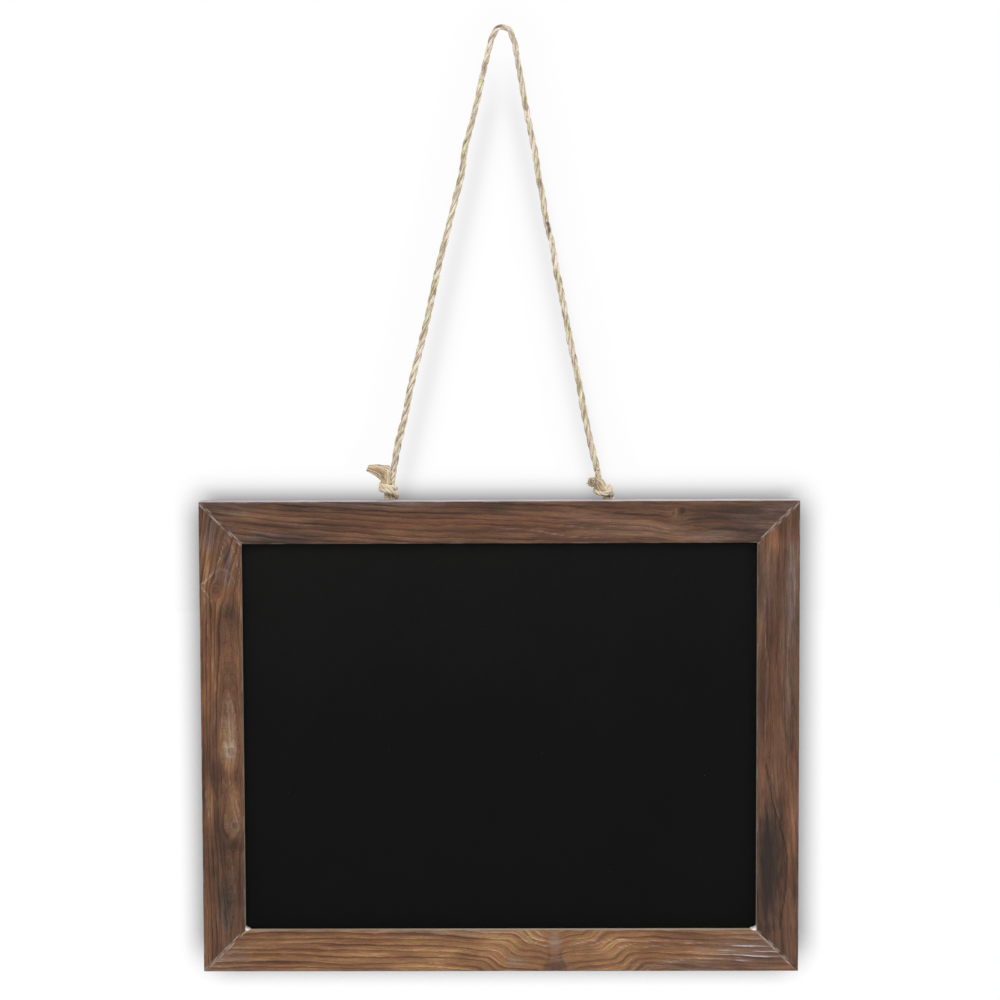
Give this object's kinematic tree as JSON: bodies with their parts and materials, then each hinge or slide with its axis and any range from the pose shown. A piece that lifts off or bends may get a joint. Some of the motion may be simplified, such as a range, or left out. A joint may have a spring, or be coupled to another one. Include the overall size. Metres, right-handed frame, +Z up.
{
  "type": "hanging chalkboard",
  "caption": "Landscape chalkboard in a stained wood frame with mitred corners, hung from a loop of twine that is knotted through screw eyes behind the top rail.",
  "frame": {"origin": "Where the underside of the twine's bend bears on a hook or nail, with the twine hanging in the plane y = 0. The hook carries the whole part.", "axes": "+X to the right of a viewer who reads the board, +Y back towards the wall, +Z up. The chalk surface faces -Y."},
  "size_m": [0.406, 0.0334, 0.6432],
  "materials": {
    "stained_wood": "brown stain rubbed thin, open grain, satin",
    "chalk_surface": "hardboard with matte black chalk paint on its face, bare brown at the back",
    "zinc_steel": "zinc plated, satin",
    "jute_twine": "three-ply jute twine, hairy and matte"
  },
  "bodies": {
    "hanging_twine": {"twine": "jute_twine", "left_knot": "jute_twine", "right_knot": "jute_twine"},
    "board": {"top_rail": "stained_wood", "right_stile": "stained_wood", "bottom_rail": "stained_wood", "left_stile": "stained_wood", "chalkboard_panel": "chalk_surface", "top_point_1": "zinc_steel", "top_point_2": "zinc_steel", "top_point_3": "zinc_steel", "right_point_1": "zinc_steel", "right_point_2": "zinc_steel", "bottom_point_1": "zinc_steel", "bottom_point_2": "zinc_steel", "bottom_point_3": "zinc_steel", "left_point_1": "zinc_steel", "left_point_2": "zinc_steel", "top_left_outer_vnail": "zinc_steel", "top_left_inner_vnail": "zinc_steel", "top_right_outer_vnail": "zinc_steel", "top_right_inner_vnail": "zinc_steel", "bottom_right_outer_vnail": "zinc_steel", "bottom_right_inner_vnail": "zinc_steel", "bottom_left_outer_vnail": "zinc_steel", "bottom_left_inner_vnail": "zinc_steel", "left_screw_eye": "zinc_steel", "right_screw_eye": "zinc_steel"}
  },
  "joints": [
    {"name": "board_tilt", "type": "hinge", "parent": "hanging_twine", "child": "board", "pos_m": [-0.0034, 0, -0.3255], "axis": [1, 0, 0], "range_deg": [-10, 165]}
  ]
}
